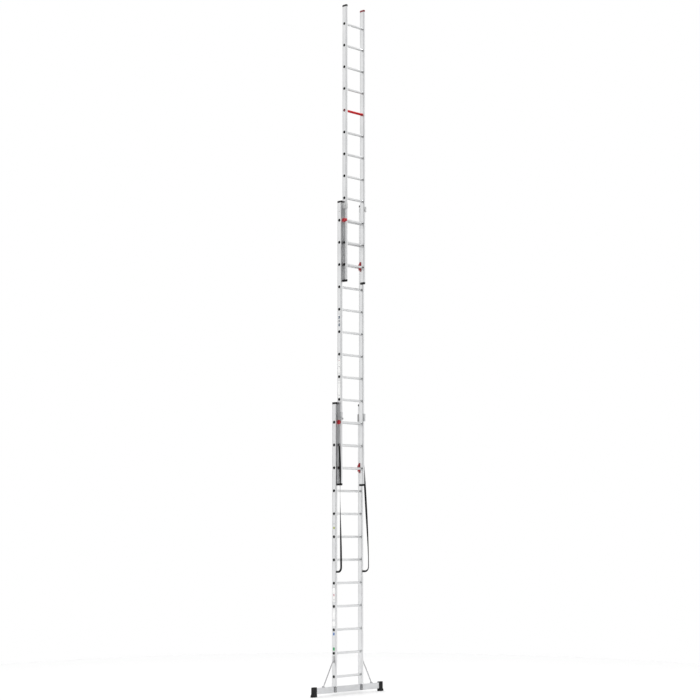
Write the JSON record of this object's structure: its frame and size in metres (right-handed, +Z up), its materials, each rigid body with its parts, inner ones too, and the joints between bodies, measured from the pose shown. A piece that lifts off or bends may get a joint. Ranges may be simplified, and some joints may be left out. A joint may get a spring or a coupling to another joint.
{
  "type": "extension ladder",
  "caption": "Aluminium extension ladder in sliding sections with a stabiliser crossbar, rubber feet, red rung hooks and black spread straps, shown fully pulled out.",
  "frame": {"origin": "bottom centre of the whole ladder, on the floor under the middle of the rungs and halfway through its depth", "axes": "+Z up along the stiles, +X across the ladder to the climber's right, +Y away from the climber, towards the wall"},
  "size_m": [1.244, 0.183, 8.59],
  "materials": {
    "stile_aluminium": "mill finish, satin",
    "rung_aluminium": "mill finish, ribbed",
    "red_rung": "powder coated, satin",
    "cast_guide": "as cast, matt",
    "red_fitting": "moulded, satin",
    "foot_rubber": "matt",
    "strap_webbing": "woven"
  },
  "bodies": {
    "bottom_section": {"left_bottom_stile": "stile_aluminium", "right_bottom_stile": "stile_aluminium", "bottom_rung_01": "rung_aluminium", "bottom_rung_02": "rung_aluminium", "bottom_rung_03": "rung_aluminium", "bottom_rung_04": "rung_aluminium", "bottom_rung_05": "rung_aluminium", "bottom_rung_06": "rung_aluminium", "bottom_rung_07": "rung_aluminium", "bottom_rung_08": "rung_aluminium", "bottom_rung_09": "rung_aluminium", "bottom_rung_10": "rung_aluminium", "bottom_rung_11": "rung_aluminium", "bottom_rung_12": "rung_aluminium", "crossbar": "stile_aluminium", "left_foot": "foot_rubber", "right_foot": "foot_rubber", "left_strut": "stile_aluminium", "right_strut": "stile_aluminium", "left_bottom_guide": "cast_guide", "right_bottom_guide": "cast_guide", "left_strap": "strap_webbing", "right_strap": "strap_webbing"},
    "middle_section": {"left_middle_stile": "stile_aluminium", "right_middle_stile": "stile_aluminium", "middle_rung_01": "rung_aluminium", "middle_rung_02": "rung_aluminium", "middle_rung_03": "rung_aluminium", "middle_rung_04": "rung_aluminium", "middle_rung_05": "rung_aluminium", "middle_rung_06": "rung_aluminium", "middle_rung_07": "rung_aluminium", "middle_rung_08": "rung_aluminium", "middle_rung_09": "rung_aluminium", "middle_rung_10": "rung_aluminium", "middle_rung_11": "rung_aluminium", "middle_rung_12": "rung_aluminium", "middle_stop_rod": "red_fitting", "left_middle_guide": "cast_guide", "right_middle_guide": "cast_guide"},
    "top_section": {"left_top_stile": "stile_aluminium", "right_top_stile": "stile_aluminium", "top_rung_01": "rung_aluminium", "top_rung_02": "rung_aluminium", "top_rung_03": "rung_aluminium", "top_rung_04": "rung_aluminium", "top_rung_05": "rung_aluminium", "top_rung_06": "rung_aluminium", "top_rung_07": "rung_aluminium", "top_rung_08": "red_rung", "top_rung_09": "rung_aluminium", "top_rung_10": "rung_aluminium", "top_rung_11": "rung_aluminium", "top_rung_12": "rung_aluminium", "top_stop_rod": "red_fitting"},
    "left_middle_hook": {"left_middle_hook": "red_fitting"},
    "right_middle_hook": {"right_middle_hook": "red_fitting"},
    "left_top_hook": {"left_top_hook": "red_fitting"},
    "right_top_hook": {"right_top_hook": "red_fitting"}
  },
  "joints": [
    {"name": "middle_slide", "type": "slide", "parent": "bottom_section", "child": "middle_section", "axis": [0, 0, 1], "range_m": [-2.52, 0], "deforming": ["left_strap", "right_strap"]},
    {"name": "top_slide", "type": "slide", "parent": "middle_section", "child": "top_section", "axis": [0, 0, 1], "range_m": [-2.52, 0]},
    {"name": "left_middle_hook_pivot", "type": "hinge", "parent": "middle_section", "child": "left_middle_hook", "pos_m": [-0.175, 0.0295, 2.7], "axis": [1, 0, 0], "range_deg": [0, 16]},
    {"name": "right_middle_hook_pivot", "type": "hinge", "parent": "middle_section", "child": "right_middle_hook", "pos_m": [0.175, 0.0295, 2.7], "axis": [1, 0, 0], "range_deg": [0, 16]},
    {"name": "left_top_hook_pivot", "type": "hinge", "parent": "top_section", "child": "left_top_hook", "pos_m": [-0.1405, -0.0235, 5.22], "axis": [1, 0, 0], "range_deg": [0, 16]},
    {"name": "right_top_hook_pivot", "type": "hinge", "parent": "top_section", "child": "right_top_hook", "pos_m": [0.1405, -0.0235, 5.22], "axis": [1, 0, 0], "range_deg": [0, 16]}
  ]
}
